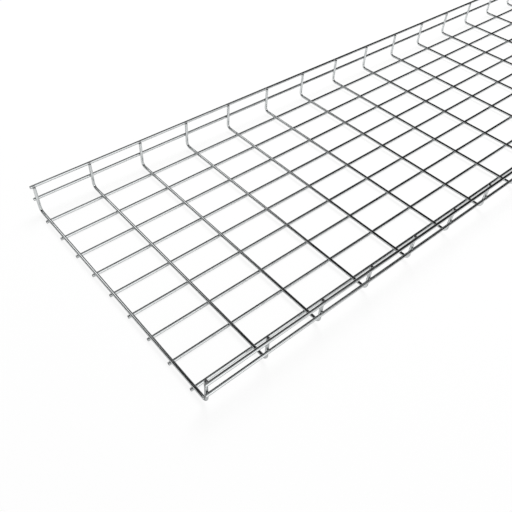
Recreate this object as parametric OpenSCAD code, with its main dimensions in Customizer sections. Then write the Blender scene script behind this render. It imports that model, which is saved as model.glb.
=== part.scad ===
// Wire mesh cable basket: a straight length of open tray, made of round steel wires that are
// resistance-welded where they cross. Bent U-shaped cross wires lie inside. Straight long wires
// run outside them: under the floor, half-way up each wall, and along each rim.
// The tray runs along X, is as wide as Y and opens towards +Z. The origin is on the surface that
// it rests on, in the middle of its length and width.

/* [Tray] */
// Clear width between the upright legs of the cross wires
inner_w = 450; // [100:50:600]
// Height of the rim wires' axes above the level where the floor wires meet
rim_rise = 50; // [50:1:105]
// Number of cross wires along the length
cross_count = 31; // [2:1:31]
// Distance between the axes of neighbouring cross wires
cross_pitch = 100; // [50:10:100]
// Distance between the axes of neighbouring base wires
base_pitch = 50; // [25:25:50]

/* [Wire] */
// Diameter of the cross wires
cross_d = 5; // [4:0.5:6]
// Diameter of the long wires
long_d = 5; // [4:0.5:6]
// Radius of the cross wires' bends, measured to the wire's axis
bend_r = 7.5; // [6:0.5:12]
// How far the long wires' cut ends stand out past the last cross wires' axes
end_overhang = 5; // [4:0.5:25]
// Height of the cross wires' cut ends above the rim wires' axes
leg_over_rim = 0.6; // [0:0.1:2.4]

/* [Weld] */
// Depth that two wires are pressed into each other where they are welded
weld_set = 0.5; // [0.3:0.1:0.8]

/* [Hidden] */
$fn = 48;
cross_r = cross_d / 2;
long_r = long_d / 2;

// Distance between the axes of two wires that are welded across each other
weld_gap = cross_r + long_r - weld_set;

// Heights above the surface that the base wires rest on
base_z = long_r;
floor_z = base_z + weld_gap;
meet_z = base_z + long_r - weld_set / 2;
rim_z = meet_z + rim_rise;
side_z = (meet_z + rim_z) / 2;
leg_top_z = rim_z + leg_over_rim;

// Distances from the middle of the tray's width
leg_y = inner_w / 2 + cross_r;
outer_y = leg_y + weld_gap;
flat_half = leg_y - bend_r;

// Base wires go on the flat of the floor, in pairs about the one in the middle
base_pairs = floor((flat_half - long_r) / base_pitch);
base_count = 2 * base_pairs + 1;

cross_span = (cross_count - 1) * cross_pitch;
tray_len = cross_span + 2 * end_overhang;

// Cross wires are numbered from the -X end, base wires from the -Y side, with two digits
function numbered(name, i) = str(name, i < 10 ? "_0" : "_", i);
CROSS_NODES = [for (i = [1:cross_count]) numbered("cross_wire", i)];
BASE_NODES = [for (i = [1:base_count]) numbered("base_wire", i)];
LONG_NODES = ["side_wire_left", "side_wire_right", "rim_wire_left", "rim_wire_right"];

// A straight wire along X, cut square at both ends, with its axis at the given place
module long_wire(y, z) {
    color([0.60, 0.62, 0.62])
        translate([-tray_len / 2, y, z])
            rotate([0, 90, 0])
                cylinder(r = long_r, h = tray_len);
}

// One wall of a cross wire: the bend up from the floor run, and the upright leg above it
module bend_and_leg() {
    translate([0, flat_half, floor_z + bend_r])
        rotate([0, 90, 0])
            rotate_extrude(angle = 90)
                translate([bend_r, 0])
                    circle(r = cross_r);
    translate([0, leg_y, floor_z + bend_r])
        cylinder(r = cross_r, h = leg_top_z - floor_z - bend_r);
}

// One bent wire: across the floor and up both walls
module cross_wire(i) {
    color([0.66, 0.68, 0.67])
        translate([(i - 1) * cross_pitch - cross_span / 2, 0, 0])
            union() {
                translate([0, 0, floor_z])
                    rotate([90, 0, 0])
                        cylinder(r = cross_r, h = 2 * flat_half, center = true);
                bend_and_leg();
                mirror([0, 1, 0]) bend_and_leg();
            }
}

// One straight wire under the floor
module base_wire(i) {
    long_wire((i - 1 - base_pairs) * base_pitch, base_z);
}

module side_wire_left() {
    long_wire(outer_y, side_z);
}

module side_wire_right() {
    long_wire(-outer_y, side_z);
}

module rim_wire_left() {
    long_wire(outer_y, rim_z);
}

module rim_wire_right() {
    long_wire(-outer_y, rim_z);
}

for (i = [1:cross_count]) cross_wire(i);
for (i = [1:base_count]) base_wire(i);
side_wire_left();
side_wire_right();
rim_wire_left();
rim_wire_right();
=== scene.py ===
# %% [markdown]
# # Wire mesh cable basket
#
# A cable basket is a tray that carries cables along a wall or under a ceiling. It is made of
# round steel wire only: bent cross wires lie inside, and straight long wires are welded on
# outside them, under the floor and along both walls. The solid model already holds every wire
# at its real place and size. This file gives each wire the surface of the real one: the metal
# squeezed out at its welds, its sheared ends, and its bright zinc coating.

# %% Load the solid model
import math
import bpy
import numpy as np
from mathutils import Matrix, Vector


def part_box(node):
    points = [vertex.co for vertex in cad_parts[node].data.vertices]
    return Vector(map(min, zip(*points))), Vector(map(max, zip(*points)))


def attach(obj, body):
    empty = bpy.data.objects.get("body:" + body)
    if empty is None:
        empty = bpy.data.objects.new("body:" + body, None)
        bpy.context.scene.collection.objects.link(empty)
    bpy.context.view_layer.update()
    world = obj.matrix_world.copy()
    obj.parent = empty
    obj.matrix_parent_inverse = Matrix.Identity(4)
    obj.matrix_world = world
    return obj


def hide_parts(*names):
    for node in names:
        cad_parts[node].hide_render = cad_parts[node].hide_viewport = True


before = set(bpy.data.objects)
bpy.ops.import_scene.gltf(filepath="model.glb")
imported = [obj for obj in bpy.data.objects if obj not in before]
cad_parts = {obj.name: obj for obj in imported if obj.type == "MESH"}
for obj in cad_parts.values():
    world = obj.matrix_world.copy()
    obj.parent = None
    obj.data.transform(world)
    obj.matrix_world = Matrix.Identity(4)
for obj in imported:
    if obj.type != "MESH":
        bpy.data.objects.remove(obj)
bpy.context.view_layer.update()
print("solid wires:", len(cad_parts))

# %% [markdown]
# ## Where the wires are
#
# Nothing is placed by eye. The box of each solid wire gives its axis: the middle of the box for
# a straight wire, and the box's sides less half a wire for a bent one. Only the radius of the
# bends has to be named, because a box can't show it.

# %% Measure the solid wires
MM = 0.001
BEND_RADIUS = 7.5 * MM


def middle_and_size(node):
    """The middle of a solid's box, and its size along X, Y and Z, in metres."""
    low, high = (np.array(corner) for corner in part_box(node))
    return (low + high) / 2, high - low


def nodes_named(start):
    """The names of the solids that start with a word, in order."""
    return sorted(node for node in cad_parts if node.startswith(start))


CROSS_WIRES = nodes_named("cross_wire")
BASE_WIRES = nodes_named("base_wire")
WALL_WIRES = nodes_named("side_wire") + nodes_named("rim_wire")
LONG_WIRES = BASE_WIRES + WALL_WIRES

base_middle, base_size = middle_and_size(BASE_WIRES[0])
cross_middle, cross_size = middle_and_size(CROSS_WIRES[0])
wire_radius = base_size[2] / 2
tray_end = base_size[0] / 2
cross_x = np.array([middle_and_size(node)[0][0] for node in CROSS_WIRES])
base_y = np.array([middle_and_size(node)[0][1] for node in BASE_WIRES])
wall_z = np.unique([round(middle_and_size(node)[0][2], 6) for node in WALL_WIRES])

floor_run_z = cross_middle[2] - cross_size[2] / 2 + wire_radius
leg_top_z = cross_middle[2] + cross_size[2] / 2
leg_y = cross_size[1] / 2 - wire_radius
print("wire radius", wire_radius, "leg axes at", leg_y, "wall wires at", wall_z)

# %% [markdown]
# ## The camera
#
# The basket is seen from just outside its near corner, from above, with the tray running away
# to the upper right. The camera is placed by the corner: so far back along the tray, so far out
# past the wall, and so high. Its three turns are the compass direction that it looks in, how far
# it looks down, and a slight roll.

# %% Set the camera
CAMERA_PLACE = (-1.7067, -0.5197, 0.6514)
LOOKS_TOWARDS = math.radians(47.82)
LOOKS_DOWN = math.radians(47.10)
ROLL = math.radians(2.83)
SENSOR = 36.0
FOCAL_LENGTH = 39.74
SHIFT = (0.0164, 0.0108)
VIEW_DEPTH = 100.0


def camera_axes(towards, down, roll):
    """The camera's right, up and back directions, from a compass turn, a tilt and a roll.

    Ahead is (cos t cos d, sin t cos d, -sin d), with t the compass turn and d the tilt down. Right
    is level and square to it, up is square to both, and the roll turns these two round ahead.
    """
    level = math.cos(down)
    ahead = np.array([math.cos(towards) * level, math.sin(towards) * level, -math.sin(down)])
    right = np.array([math.sin(towards), -math.cos(towards), 0.0])
    up = np.cross(right, ahead)
    rolled_right = right * math.cos(roll) + up * math.sin(roll)
    rolled_up = up * math.cos(roll) - right * math.sin(roll)
    return rolled_right, rolled_up, -ahead


camera_data = bpy.data.cameras.new("camera")
camera_data.sensor_width = SENSOR
camera_data.lens = FOCAL_LENGTH
camera_data.shift_x, camera_data.shift_y = SHIFT
camera_data.clip_end = VIEW_DEPTH
camera = bpy.data.objects.new("camera", camera_data)
bpy.context.scene.collection.objects.link(camera)
turn = Matrix(np.array(camera_axes(LOOKS_TOWARDS, LOOKS_DOWN, ROLL)).T.tolist()).to_4x4()
camera.matrix_world = Matrix.Translation(CAMERA_PLACE) @ turn
bpy.context.scene.camera = camera
print("camera at", tuple(camera.matrix_world.translation))

# %% [markdown]
# ## A wire as a surface of two parameters
#
# A wire is a circle carried along a path. Its surface has two parameters: the distance along
# the wire, and the angle round it. A curve object with a bevel would draw the same tube, but not
# the swelling at the welds, so the surface is worked out here as one grid of points. The angle
# is counted from the side that is welded, which makes the welds easy to place.

# %% Stations along a wire
ROUND_OVER = 0.35 * MM
COLUMNS = 20
CUT_RINGS = (0.3, 0.66)
WELD_STEPS = (0, 0.3, 0.65, 1.0, 1.4, 2.0)


def end_profile():
    """Distances in from a cut end, and the tube's radius there.

    Two rings lie on the flat of the cut, and the edge is a quarter circle: at an angle a, the
    distance in is c (1 - cos a) and the radius is r - c + c sin a, with c the rounding's radius.
    """
    angle = np.radians([0, 30, 60, 90])
    inset = np.concatenate([[0, 0], ROUND_OVER * (1 - np.cos(angle))])
    rim = wire_radius - ROUND_OVER
    radius = np.concatenate([np.array(CUT_RINGS) * rim, rim + ROUND_OVER * np.sin(angle)])
    return inset, radius


def stations(start, end, welds, between):
    """Distances along a wire and radii there: cut ends, close steps at each weld, and the rest.

    The steps on both sides of a weld are WELD_STEPS wire radii. Steps that would fall in a cut
    end's rounding are dropped, and the radius is the wire's own between the two ends.
    """
    steps = wire_radius * np.array(WELD_STEPS)
    near_welds = np.add.outer(welds, np.concatenate([-steps[:0:-1], steps])).ravel()
    inset, end_radius = end_profile()
    inner = np.unique(np.round(np.concatenate([near_welds, between]), 7))
    inner = inner[(inner > start + 2 * ROUND_OVER) & (inner < end - 2 * ROUND_OVER)]
    along = np.concatenate([start + inset, inner, end - inset[::-1]])
    radius = np.concatenate([end_radius, np.full(len(inner), wire_radius), end_radius[::-1]])
    return along, radius


print("rings at a cut end:", len(end_profile()[0]))

# %% [markdown]
# ## Welds and cut ends
#
# Two crossing wires are pressed together while a current melts the steel between them. A little
# of it is squeezed out and fills the narrow gap around the joint. On each wire it is a low hump
# that faces its partner. A wire's end is sheared, so half of the cut is smooth and level, and
# the other half has torn away a little deeper.

# %% Swelling at a weld and tearing at a cut
SQUEEZE_OUT = 0.55 * MM
SQUEEZE_LENGTH = 2.6 * MM
SQUEEZE_ANGLE = 0.75
TEAR_DEPTH = 0.35 * MM
TEAR_TURN = 0.9
TEAR_STEEPNESS = 3
HEAT_REACH = 1.6
HEAT_ALL_ROUND, HEAT_WELD_SIDE = 0.6, 0.4


def nearest(along, welds):
    """The distance from each station to the weld that is nearest to it."""
    return np.abs(np.subtract.outer(along, welds)).min(axis=1)


def swelling(along, angle, welds):
    """Height of the squeezed-out metal: a bell curve along the wire times one round it.

    Each bell is exp(-(u / width) squared), with u the distance to the weld, or the angle from it.
    """
    length_share = np.exp(-(nearest(along, welds) / SQUEEZE_LENGTH) ** 2)
    angle_share = np.exp(-(angle / SQUEEZE_ANGLE) ** 2)
    return SQUEEZE_OUT * np.outer(length_share, angle_share)


def tearing(radius, angle, on_cut):
    """How far the cut's surface lies inside the end: nothing at its edge, and deeper on one side.

    The depth is (1 - f squared) times a smooth step across the wire, with f the radius as a share
    of the cut's own radius.
    """
    share = np.clip(radius / (wire_radius - ROUND_OVER), 0, 1)
    across = np.outer(share, np.cos(angle + TEAR_TURN))
    torn_half = 0.5 + 0.5 * np.tanh(TEAR_STEEPNESS * across)
    depth = TEAR_DEPTH * (1 - share[:, None] ** 2) * torn_half
    return depth * on_cut[:, None]


print("squeezed-out metal stands", SQUEEZE_OUT / MM, "mm proud")

# %% Make a mesh from the grid
def grid_faces(rows, columns):
    """Four-sided faces between neighbouring rings, which close round the wire."""
    ring = np.arange(rows - 1)[:, None] * columns
    here = np.arange(columns)[None, :]
    after = (here + 1) % columns
    next_ring = ring + columns
    faces = np.stack([ring + here, next_ring + here, next_ring + after, ring + after], axis=-1)
    return faces.reshape(-1, 4)


def wire_mesh(name, path, start, end, welds, between):
    """A closed wire. path(s) gives points on the axis, and the directions of travel and weld side.

    A surface point is: the axis point, plus the ring's radius and swelling times the direction at
    its angle, less the tearing along the wire. unbent keeps each point's place on the wire as if
    it were straight, for patterns that follow the bends. weld is near 1 beside a weld, and cut is
    1 on a sheared face.
    """
    along, radius = stations(start, end, welds, between)
    angle = np.linspace(-math.pi, math.pi, COLUMNS, endpoint=False)
    axis, travel, weld_side = path(along)
    other_side = np.cross(travel, weld_side)
    towards_weld = np.cos(angle)[None, :, None] * weld_side[:, None, :]
    out = towards_weld + np.sin(angle)[None, :, None] * other_side[:, None, :]
    full = radius > wire_radius - ROUND_OVER + 1e-9
    reach = radius[:, None] + swelling(along, angle, welds) * full[:, None]
    inwards = np.sign((start + end) / 2 - along)[:, None] * tearing(radius, angle, ~full)
    points = axis[:, None, :] + reach[:, :, None] * out
    points = points + inwards[:, :, None] * travel[:, None, :]

    rows = len(along)
    faces = grid_faces(rows, COLUMNS).tolist()
    first_cap = list(range(COLUMNS))
    last_cap = list(range(rows * COLUMNS - 1, (rows - 1) * COLUMNS - 1, -1))
    mesh = bpy.data.meshes.new(name)
    mesh.from_pydata(points.reshape(-1, 3).tolist(), [], faces + [first_cap, last_cap])
    mesh.polygons.foreach_set("use_smooth", np.ones(len(mesh.polygons), bool))

    distance = np.repeat(along[:, None], COLUMNS, 1)
    unbent = np.stack([distance, reach * np.cos(angle), reach * np.sin(angle)], -1)
    heat = np.exp(-(nearest(along, welds) / (HEAT_REACH * wire_radius)) ** 2)
    heat = np.outer(heat, HEAT_ALL_ROUND + HEAT_WELD_SIDE * np.cos(angle))
    cut = np.repeat((~full).astype(float), COLUMNS)
    mesh.attributes.new("unbent", "FLOAT_VECTOR", "POINT").data.foreach_set("vector", unbent.ravel())
    mesh.attributes.new("weld", "FLOAT", "POINT").data.foreach_set("value", heat.ravel())
    mesh.attributes.new("cut", "FLOAT", "POINT").data.foreach_set("value", cut)
    mesh.update()
    return mesh


print("points round a wire:", COLUMNS, "faces between two rings:", len(grid_faces(2, COLUMNS)))

# %% [markdown]
# ## Long wires
#
# A straight path is enough: every point keeps its Y and Z. The base wires are welded on their
# upper side, and the wires of the walls on the side that faces into the tray.

# %% Straight wires
def straight_path(y, z, weld_side):
    """A path along X at one Y and Z, welded on the side that weld_side points to."""
    def path(along):
        axis = np.stack([along, np.full_like(along, y), np.full_like(along, z)], -1)
        travel = np.tile([1.0, 0.0, 0.0], (len(along), 1))
        return axis, travel, np.tile(np.array(weld_side, float), (len(along), 1))
    return path


def long_wire(node):
    """The mesh that stands for one straight wire."""
    middle, size = middle_and_size(node)
    in_wall = abs(middle[1]) > leg_y
    weld_side = (0.0, -math.copysign(1.0, middle[1]), 0.0) if in_wall else (0.0, 0.0, 1.0)
    path = straight_path(middle[1], middle[2], weld_side)
    half_way = (cross_x[1:] + cross_x[:-1]) / 2
    return wire_mesh(node, path, -tray_end, tray_end, cross_x, half_way)


print("straight wires:", len(LONG_WIRES), "each", round(2 * tray_end / MM), "mm long")

# %% [markdown]
# ## Cross wires
#
# A cross wire is bent from a straight piece: a flat run across the floor, a tight bend at each
# side, and two upright legs. All of it follows from one number, the distance along the wire from
# the middle of the floor run, so the whole wire is still one grid.

# %% Bent wires
BEND_RINGS = 9
flat_half = leg_y - BEND_RADIUS
bend_length = BEND_RADIUS * math.pi / 2
leg_start_z = floor_run_z + BEND_RADIUS


def height_to_distance(z):
    """Distance along the bent wire from the floor's middle to a height on a leg."""
    return flat_half + bend_length + z - leg_start_z


def bent_path(x):
    """A U-shaped path at one X.

    With d the distance from the middle, the turn made is (d - flat) / bend radius, held between
    none and a quarter turn. What is left of d is the flat before the bend, and the rise after it.
    """
    def path(along):
        side = np.where(along < 0, -1.0, 1.0)
        distance = np.abs(along)
        turn_made = np.clip((distance - flat_half) / BEND_RADIUS, 0, math.pi / 2)
        flat = np.minimum(distance, flat_half)
        rise = np.maximum(distance - flat_half - bend_length, 0)
        sine, cosine, none = np.sin(turn_made), np.cos(turn_made), np.zeros_like(along)
        y = side * (flat + BEND_RADIUS * sine)
        z = floor_run_z + BEND_RADIUS * (1 - cosine) + rise
        axis = np.stack([np.full_like(along, x), y, z], -1)
        travel = np.stack([none, cosine, side * sine], -1)
        outer_side = np.stack([none, side * sine, -cosine], -1)
        return axis, travel, outer_side
    return path


def cross_wire(node):
    """The mesh that stands for one bent wire."""
    x = middle_and_size(node)[0][0]
    wall_welds = height_to_distance(wall_z)
    welds = np.concatenate([-wall_welds[::-1], base_y, wall_welds])
    bend_steps = flat_half + np.linspace(0, bend_length, BEND_RINGS)
    leg_middle = height_to_distance(np.array([wall_z.mean()]))
    in_floor = (base_y[1:] + base_y[:-1]) / 2
    half_way = np.concatenate([in_floor, bend_steps, -bend_steps, leg_middle, -leg_middle])
    end = height_to_distance(leg_top_z)
    return wire_mesh(node, bent_path(x), -end, end, np.sort(welds), half_way)


cut_length = 2 * height_to_distance(leg_top_z)
print("bent wires:", len(CROSS_WIRES), "each cut from", round(cut_length / MM), "mm of wire")

# %% [markdown]
# ## Shader maths in plain expressions
#
# A procedural finish is a sum of small patterns. Written as node links it is hard to follow, so a
# small class wraps a socket and lets ordinary arithmetic add the Math nodes.

# %% A socket that does arithmetic
class Shade:
    """A socket of a node tree. Arithmetic on it adds Math nodes, and node() adds any other node."""

    def __init__(self, tree, socket=None):
        self.tree = tree
        self.socket = socket

    def node(self, kind, settings=None, inputs=None, output=0):
        """Adds a node: its type, then its settings, then the values or links of its sockets."""
        made = self.tree.nodes.new(kind)
        for name, value in (settings or {}).items():
            setattr(made, name, value)
        for name, value in (inputs or {}).items():
            if isinstance(value, Shade):
                self.tree.links.new(value.socket, made.inputs[name])
            else:
                made.inputs[name].default_value = value
        return Shade(self.tree, made.outputs[output])

    def maths(self, operation, first, second):
        """Adds a Math node on two values or sockets."""
        return self.node("ShaderNodeMath", {"operation": operation}, {0: first, 1: second})

    def __add__(self, other):
        return self.maths("ADD", self, other)

    def __rsub__(self, other):
        return self.maths("SUBTRACT", other, self)

    def __mul__(self, other):
        return self.maths("MULTIPLY", self, other)

    def __pow__(self, other):
        return self.maths("POWER", self, other)

    __radd__ = __add__
    __rmul__ = __mul__


def mixed(share, first, second):
    """A colour between two others: share is 0 at the first and 1 at the second."""
    first, second = (value if isinstance(value, Shade) else (*value, 1.0) for value in (first, second))
    return share.node("ShaderNodeMix", {"data_type": "RGBA"}, {0: share, 6: first, 7: second}, 2)


def empty_material(name):
    """A material with only its output node, and a start for its expressions."""
    material = bpy.data.materials.new(name)
    material.use_nodes = True
    tree = material.node_tree
    tree.nodes.clear()
    output = tree.nodes.new("ShaderNodeOutputMaterial")
    return material, Shade(tree), output


print("shader maths:", ", ".join(name for name in vars(Shade) if name.startswith("__r")))

# %% [markdown]
# ## The zinc coating
#
# The wire is drawn steel with a thin, bright layer of zinc. Drawing leaves fine lines along the
# wire, and the plating bath leaves slow changes of tone from one stretch to the next. At a weld
# the heat dulls the metal, and a cut end shows the darker steel. The patterns read the unbent
# coordinates, so the lines follow the wire round its bends.

# %% Zinc-coated wire
ZINC_LIGHT = (0.71, 0.73, 0.73)
ZINC_DARK = (0.56, 0.58, 0.585)
WELD_GREY = (0.44, 0.45, 0.45)
CUT_STEEL = (0.42, 0.42, 0.43)
EDGE_TINT = (0.30, 0.30, 0.30, 1.0)
CLOUD_SCALE, GRAIN_SCALE = 28.0, 900.0
LINE_STRETCH = (18.0, 1500.0, 1500.0)
RELIEF = 0.06 * MM


def zinc_finish():
    """The coating: tone and roughness follow clouds, drawn lines, the welds' heat and the cuts."""
    material, shade, output = empty_material("zinc_wire")
    unbent = shade.node("ShaderNodeAttribute", {"attribute_name": "unbent"}, output=1)
    weld = shade.node("ShaderNodeAttribute", {"attribute_name": "weld"}, output=2)
    cut = shade.node("ShaderNodeAttribute", {"attribute_name": "cut"}, output=2)
    place = shade.node("ShaderNodeTexCoord", output=3)

    clouds = shade.node("ShaderNodeTexNoise", {}, {"Vector": place, "Scale": CLOUD_SCALE, "Detail": 3.0})
    stretched = shade.node("ShaderNodeVectorMath", {"operation": "MULTIPLY"},
                           {0: unbent, 1: LINE_STRETCH})
    lines = shade.node("ShaderNodeTexNoise", {}, {"Vector": stretched, "Scale": 1.0, "Detail": 2.0})
    grains = shade.node("ShaderNodeTexNoise", {}, {"Vector": place, "Scale": GRAIN_SCALE, "Detail": 2.0})

    tone = mixed(clouds * 0.7 + lines * 0.3, ZINC_DARK, ZINC_LIGHT)
    tone = mixed(weld ** 2 * 0.45, tone, WELD_GREY)
    tone = mixed(cut * 0.85, tone, CUT_STEEL)
    roughness = 0.06 + clouds * 0.08 + lines * 0.04 + weld * 0.25 + cut * 0.2
    relief = lines * 0.6 + grains * 0.4
    bump = shade.node("ShaderNodeBump", {}, {"Height": relief, "Strength": 0.25, "Distance": RELIEF})

    metal = shade.node("ShaderNodeBsdfPrincipled", {}, {
        "Base Color": tone, "Metallic": 1.0, "Roughness": roughness,
        "Specular Tint": EDGE_TINT, "Normal": bump})
    shade.tree.links.new(metal.socket, output.inputs["Surface"])
    return material


ZINC = zinc_finish()
print("finish:", ZINC.name)

# %% Dress every wire
def dress(node, mesh):
    """Puts a mesh in the scene as a piece that stands for one solid wire."""
    mesh.materials.append(ZINC)
    piece = bpy.data.objects.new(node + "_finished", mesh)
    bpy.context.scene.collection.objects.link(piece)
    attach(piece, "root")
    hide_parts(node)
    return piece


pieces = [dress(node, long_wire(node)) for node in LONG_WIRES]
pieces += [dress(node, cross_wire(node)) for node in CROSS_WIRES]
print("pieces:", len(pieces), "faces:", sum(len(piece.data.polygons) for piece in pieces))

# %% [markdown]
# ## Floor and light
#
# Bright metal shows what is around it. The studio gives it a pale floor, a big soft light in
# front, a long strip of light behind and above, a few faint patches, and a dark ceiling, which
# draws the dark edges that make each wire read as round. Lamps could make these lights, but soft
# patches in the world are simpler to place by their direction. The camera sees the floor and the
# world white. The metal mirrors that white more weakly, and from the world only low down.

# %% Floor
FLOOR_SIZE = 60.0
FLOOR_PAINT = (0.86, 0.86, 0.86, 1.0)
WHITE = (1.0, 1.0, 1.0, 1.0)
SEEN_WHITE = 0.90
MIRRORED_WHITE = 0.40
RAY_TYPES = ("Is Camera Ray", "Is Glossy Ray", "Is Transmission Ray")


def pale_floor():
    """A level square whose paint holds the shadow, and whose glow is mixed in by kind of ray."""
    half = FLOOR_SIZE / 2
    corners = [(-half, -half, 0), (half, -half, 0), (half, half, 0), (-half, half, 0)]
    mesh = bpy.data.meshes.new("studio_floor")
    mesh.from_pydata(corners, [], [(0, 1, 2, 3)])
    material, shade, output = empty_material("pale_floor")
    white = shade.node("ShaderNodeEmission", {}, {"Color": WHITE, "Strength": 1.0})
    paint = shade.node("ShaderNodeBsdfDiffuse", {}, {"Color": FLOOR_PAINT})
    seen = [shade.node("ShaderNodeLightPath", output=name) for name in RAY_TYPES]
    share = seen[0] * SEEN_WHITE + seen[1] * MIRRORED_WHITE + seen[2] * SEEN_WHITE
    both = shade.node("ShaderNodeMixShader", {}, {0: share, 1: paint, 2: white})
    shade.tree.links.new(both.socket, output.inputs["Surface"])
    mesh.materials.append(material)
    piece = bpy.data.objects.new("studio_floor", mesh)
    bpy.context.scene.collection.objects.link(piece)
    return piece


studio_floor = pale_floor()
print("floor:", studio_floor.name, FLOOR_SIZE, "m square")

# %% Light
def direction_to(compass, height):
    """The unit direction at a compass turn from +X towards +Y and a height above the horizon."""
    turn, rise = math.radians(compass), math.radians(height)
    return (math.cos(turn) * math.cos(rise), math.sin(turn) * math.cos(rise), math.sin(rise))


def patch(direction, compass, height, inner, outer, tone, squeeze):
    """A soft patch of light: full within the inner angle, and gone at the outer one.

    It is a circle round its own direction. Squeezing X by a number under 1 before the angle is
    measured draws the circle out into a strip along the tray.
    """
    squeezed = direction.node("ShaderNodeVectorMath", {"operation": "MULTIPLY"},
                              {0: direction, 1: (squeeze, 1.0, 1.0)})
    squeezed = direction.node("ShaderNodeVectorMath", {"operation": "NORMALIZE"}, {0: squeezed})
    nearness = direction.node("ShaderNodeVectorMath", {"operation": "DOT_PRODUCT"},
                              {0: squeezed, 1: direction_to(compass, height)}, 1)
    return direction.node("ShaderNodeMapRange", {"interpolation_type": "SMOOTHSTEP"}, {
        "Value": nearness, "From Min": math.cos(math.radians(outer)),
        "From Max": math.cos(math.radians(inner)), "To Min": 0.0, "To Max": tone})


DARK_CEILING = 0.01
LOW_BAND, LOW_BAND_END = 0.04, 0.16
# Each patch: compass turn, height, inner and outer angle in degrees, tone, and squeeze along X
PATCHES = [
    (-95, 5, 31, 45, 1.90, 1.0),
    (-54, 52, 8, 20, 0.80, 1.0),
    (-10, 76, 5, 16, 0.35, 1.0),
    (92, 47, 5, 16, 1.75, 0.7),
    (45, 28, 5, 22, 0.15, 1.0),
    (155, 12, 8, 25, 0.15, 1.0),
]


def studio_world():
    """A studio: a dark ceiling with soft patches of light, and white for the camera.

    The tone is u + share (1 - u), with u the brightest patch or the ceiling. The share is 1 for
    camera and transmitted rays, and for mirrored ones it fades out above the horizon.
    """
    world = bpy.data.worlds.new("studio")
    world.use_nodes = True
    tree = world.node_tree
    tree.nodes.clear()
    output = tree.nodes.new("ShaderNodeOutputWorld")
    direction = Shade(tree).node("ShaderNodeTexCoord", output=0)
    upper = DARK_CEILING
    for numbers in PATCHES:
        upper = direction.maths("MAXIMUM", upper, patch(direction, *numbers))
    height = direction.node("ShaderNodeSeparateXYZ", {}, {0: direction}, 2)
    low_down = direction.node("ShaderNodeMapRange", {"interpolation_type": "SMOOTHSTEP"}, {
        "Value": height, "From Min": LOW_BAND_END, "From Max": LOW_BAND,
        "To Min": 0.0, "To Max": MIRRORED_WHITE})
    seen = [direction.node("ShaderNodeLightPath", output=name) for name in RAY_TYPES]
    share = seen[0] + seen[1] * low_down + seen[2]
    tone = upper + share * (1.0 - upper)
    glow = direction.node("ShaderNodeBackground", {}, {"Color": tone, "Strength": 1.0})
    tree.links.new(glow.socket, output.inputs["Surface"])
    return world


def fill_light(name, place, aim, size, power):
    """A square soft light at a place, turned towards a point, which metal doesn't mirror."""
    data = bpy.data.lights.new(name, "AREA")
    data.shape = "SQUARE"
    data.size = size
    data.energy = power
    lamp = bpy.data.objects.new(name, data)
    bpy.context.scene.collection.objects.link(lamp)
    lamp.location = place
    lamp.rotation_euler = (Vector(place) - Vector(aim)).to_track_quat("Z", "Y").to_euler()
    lamp.visible_glossy = False
    return lamp


bpy.context.scene.world = studio_world()
fill_light("fill_light", (1.0, 1.5, 3.6), (-0.6, 0.0, 0.0), 2.5, 250.0)
bpy.context.scene.view_settings.view_transform = "Standard"
print("soft patches of light:", len(PATCHES))
